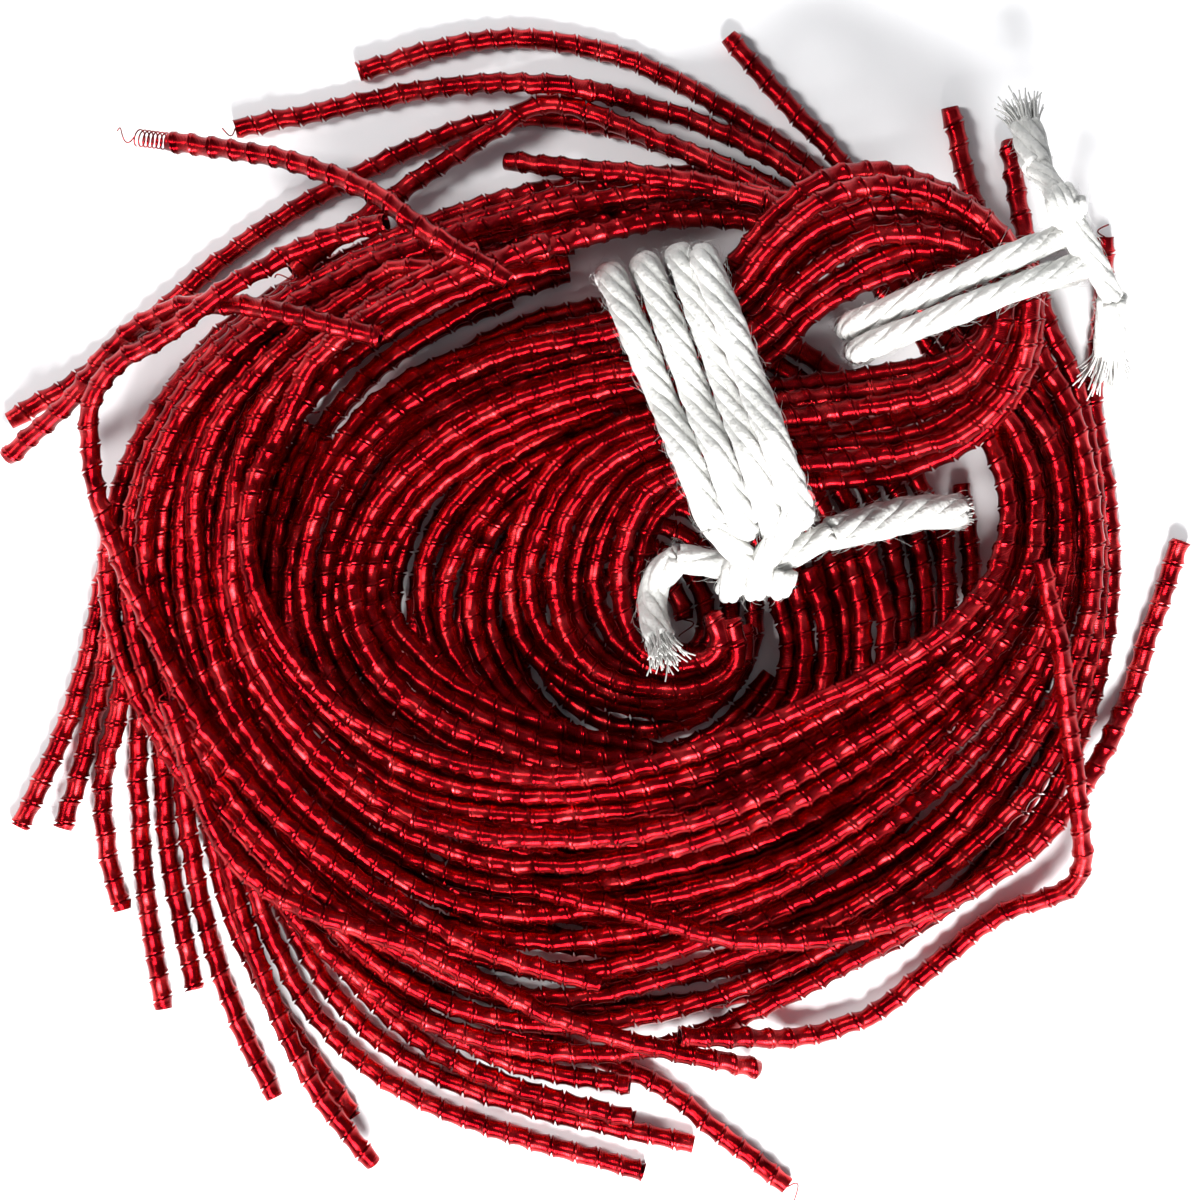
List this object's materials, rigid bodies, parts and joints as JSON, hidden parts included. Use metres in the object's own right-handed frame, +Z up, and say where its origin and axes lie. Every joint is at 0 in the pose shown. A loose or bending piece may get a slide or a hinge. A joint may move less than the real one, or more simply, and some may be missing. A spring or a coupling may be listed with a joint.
{
  "type": "tied hank of crimped metal purl",
  "caption": "Swirled, tied hank of crimped hollow wire purl strands, bound with white cotton yarn at its centre and at a folded lobe.",
  "frame": {"origin": "middle of the hank's outline, at the level of the surface it lies on", "axes": "+Z up from the surface the hank lies on, +X from the swirl towards the right side of the folded lobe, +Y from the loose bottom ends towards the loose top ends"},
  "size_m": [0.1206, 0.1182, 0.0254],
  "materials": {
    "red_wire": "gloss red lacquer over fine copper wire",
    "white_yarn": "soft undyed cotton, multi-ply"
  },
  "bodies": {
    "root": {"arc_strand": "red_wire", "bottom_coil_1": "red_wire", "bottom_coil_2": "red_wire", "bottom_coil_3": "red_wire", "bottom_exit_strand": "red_wire", "bottom_strand_1": "red_wire", "bottom_strand_2": "red_wire", "bottom_strand_3": "red_wire", "centre_tie_knot": "white_yarn", "centre_tie_tail_left": "white_yarn", "centre_tie_tail_right": "white_yarn", "centre_tie_turns": "white_yarn", "fan_strand_01": "red_wire", "fan_strand_02": "red_wire", "fan_strand_03": "red_wire", "fan_strand_04": "red_wire", "fan_strand_05": "red_wire", "fan_strand_06": "red_wire", "fan_strand_07": "red_wire", "fan_strand_08": "red_wire", "fan_strand_09": "red_wire", "fan_strand_10": "red_wire", "fan_strand_11": "red_wire", "fan_strand_12": "red_wire", "fold_tie_knot": "white_yarn", "fold_tie_tail_side": "white_yarn", "fold_tie_tail_top": "white_yarn", "fold_tie_turns": "white_yarn", "inner_strand_1": "red_wire", "inner_strand_2": "red_wire", "inner_strand_3": "red_wire", "inner_strand_4": "red_wire", "kinked_strand": "red_wire", "left_cross_strand": "red_wire", "left_exit_strand": "red_wire", "lobe_strand_1": "red_wire", "lobe_strand_2": "red_wire", "lobe_strand_3": "red_wire", "lobe_strand_4": "red_wire", "lobe_strand_5": "red_wire", "lobe_strand_6": "red_wire", "lobe_strand_7": "red_wire", "lower_cross_strand": "red_wire", "opened_end_strand": "red_wire", "right_outer_strand": "red_wire", "ring_strand_01": "red_wire", "ring_strand_02": "red_wire", "ring_strand_03": "red_wire", "ring_strand_04": "red_wire", "ring_strand_05": "red_wire", "ring_strand_06": "red_wire", "ring_strand_07": "red_wire", "ring_strand_08": "red_wire", "ring_strand_09": "red_wire", "ring_strand_10": "red_wire", "ring_strand_11": "red_wire", "ring_strand_12": "red_wire", "under_knot_strand_1": "red_wire", "under_knot_strand_2": "red_wire", "under_knot_strand_3": "red_wire"}
  },
  "joints": []
}
